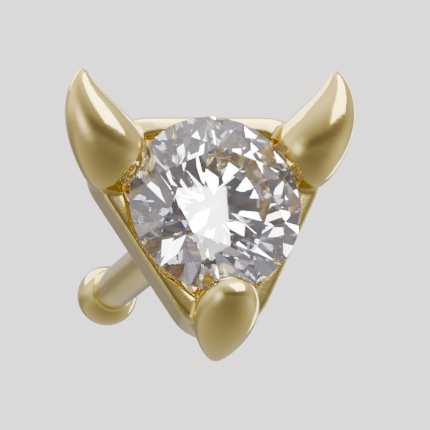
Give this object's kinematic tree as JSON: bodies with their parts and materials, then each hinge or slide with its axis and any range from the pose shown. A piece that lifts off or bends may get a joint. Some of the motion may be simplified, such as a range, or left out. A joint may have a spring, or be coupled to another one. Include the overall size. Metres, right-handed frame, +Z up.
{
  "type": "nose stud",
  "caption": "Nose stud with a straight ball-ended post and a round brilliant in a shield-shaped yellow gold setting, its claws shaped as horns above and a pointed chin below.",
  "frame": {"origin": "on the flat back of the setting's base, on the axis of the post, where the post enters the skin", "axes": "+Z is up as worn, with the horns on top; the face looks along -Y; +Y runs along the post into the nostril; +X is to the right of someone who looks at the face of the stud"},
  "size_m": [0.005, 0.0091, 0.0048],
  "materials": {
    "gold": "polished yellow gold",
    "clear_stone": "polished facets"
  },
  "bodies": {
    "root": {"setting_and_post": "gold", "stone": "clear_stone"}
  },
  "joints": []
}
